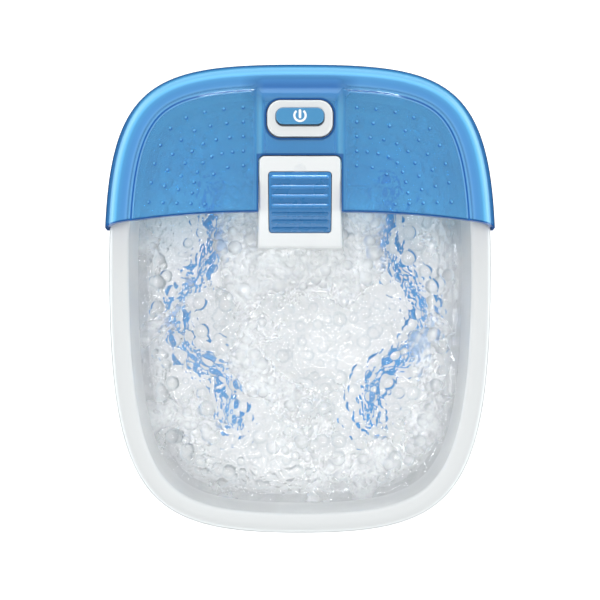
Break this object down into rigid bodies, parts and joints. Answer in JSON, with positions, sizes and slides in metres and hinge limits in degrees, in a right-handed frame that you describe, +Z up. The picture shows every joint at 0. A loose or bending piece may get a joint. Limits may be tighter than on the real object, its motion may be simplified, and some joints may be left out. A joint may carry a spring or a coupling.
{
  "type": "bubble foot bath",
  "caption": "Oval white bubble foot bath with a translucent blue splash guard, a raised console with a toe-touch button, a lift-out ribbed pumice block and bubble strips on the floor.",
  "frame": {"origin": "centre of the bath's plan, on the surface it stands on", "axes": "+X to the user's right, +Y towards the toe end with the splash guard, +Z up"},
  "size_m": [0.3316, 0.4002, 0.182],
  "materials": {
    "white_abs": "satin",
    "blue_clear_plastic": "glossy translucent",
    "blue_abs": "satin",
    "strip_blue": "satin",
    "pumice": "rough porous stone",
    "rubber": "matte",
    "silicone_hose": "soft satin",
    "steel": "bare",
    "copper": "enamelled copper windings",
    "aluminium": "bare",
    "black_plastic": "matte",
    "grey_plastic": "matte",
    "wire_insulation": "satin"
  },
  "bodies": {
    "bath": {"tub": "white_abs", "base_housing": "white_abs", "control_bezel": "white_abs", "bubble_strip_left": "strip_blue", "bubble_strip_right": "strip_blue", "foot_front_left": "rubber", "foot_front_right": "rubber", "foot_rear_left": "rubber", "foot_rear_right": "rubber", "housing_screw_1": "steel", "housing_screw_2": "steel", "housing_screw_3": "steel", "housing_screw_4": "steel", "housing_screw_5": "steel", "housing_screw_6": "steel", "cord_gland": "black_plastic", "button_return_spring": "steel", "stem_seal": "rubber", "power_switch": "black_plastic", "switch_bracket": "steel", "strip_inlet_left": "grey_plastic", "strip_inlet_right": "grey_plastic", "inlet_seal_left": "rubber", "inlet_seal_right": "rubber", "air_hose_left": "silicone_hose", "air_hose_right": "silicone_hose", "air_manifold": "grey_plastic", "riser_hose": "silicone_hose", "blower_housing": "grey_plastic", "blower_cover": "grey_plastic", "motor_stator": "steel", "motor_coil_upper": "copper", "motor_coil_lower": "copper", "motor_bracket_upper": "aluminium", "motor_bracket_lower": "aluminium", "bearing_upper": "steel", "bearing_lower": "steel", "blower_mount_1": "rubber", "blower_mount_2": "rubber", "blower_mount_3": "rubber", "heater_plate": "aluminium", "thermostat": "black_plastic", "thermal_fuse": "steel", "terminal_block": "black_plastic", "wire_switch": "wire_insulation", "wire_motor": "wire_insulation", "wire_heater": "wire_insulation"},
    "guard": {"splash_guard": "blue_clear_plastic"},
    "button": {"power_button": "blue_abs", "button_stem": "steel"},
    "pumice": {"pumice_holder": "blue_abs", "pumice_stone": "pumice"},
    "impeller": {"blower_impeller": "black_plastic", "motor_shaft": "steel", "motor_rotor": "steel"}
  },
  "joints": [
    {"name": "splash_guard_lift", "type": "slide", "parent": "bath", "child": "guard", "axis": [0, 0, 1], "range_m": [0, 0.06]},
    {"name": "power_button_press", "type": "slide", "parent": "bath", "child": "button", "axis": [0, 0, -1], "range_m": [0, 0.0025], "stiffness_N_per_m": 500, "springref_m": -0.003, "deforming": ["button_return_spring"]},
    {"name": "pumice_lift", "type": "slide", "parent": "bath", "child": "pumice", "axis": [0, 0, 1], "range_m": [0, 0.08]},
    {"name": "impeller_spin", "type": "hinge", "parent": "bath", "child": "impeller", "pos_m": [0, 0.095, 0.023], "axis": [0, 0, 1], "continuous": true}
  ]
}
